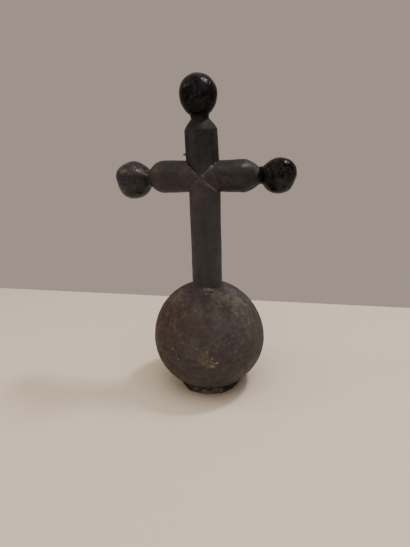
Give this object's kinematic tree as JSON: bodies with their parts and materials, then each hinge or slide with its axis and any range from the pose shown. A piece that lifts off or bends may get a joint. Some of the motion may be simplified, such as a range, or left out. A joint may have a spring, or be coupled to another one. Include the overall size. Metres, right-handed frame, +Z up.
{
  "type": "lead grave cross",
  "caption": "Lead grave cross on a ball: round mitred arms with ball finials, standing on a dressed lead foot.",
  "frame": {"origin": "middle of the foot's flat underside, on the axis of the shaft", "axes": "+Z up along the shaft, +X along the right arm, the front of the cross looks along -Y"},
  "size_m": [0.1767, 0.1176, 0.3146],
  "materials": {
    "lead_ball": "matte weathered lead, grey-brown patina with pale crust",
    "lead_shaft": "dull brown-black lead",
    "lead_arms": "dull to satin brown lead, brighter on the edges",
    "lead_finials": "near-black satin lead",
    "lead_foot": "dark dirty lead",
    "solder": "satin solder, worn lighter"
  },
  "bodies": {
    "root": {"foot_collar": "lead_foot", "base_ball": "lead_ball", "shaft": "lead_shaft", "upper_arm": "lead_arms", "left_arm": "lead_arms", "right_arm": "lead_arms", "top_finial": "lead_finials", "left_finial": "lead_finials", "right_finial": "lead_finials", "crossing_solder": "solder", "shaft_solder": "solder"}
  },
  "joints": []
}
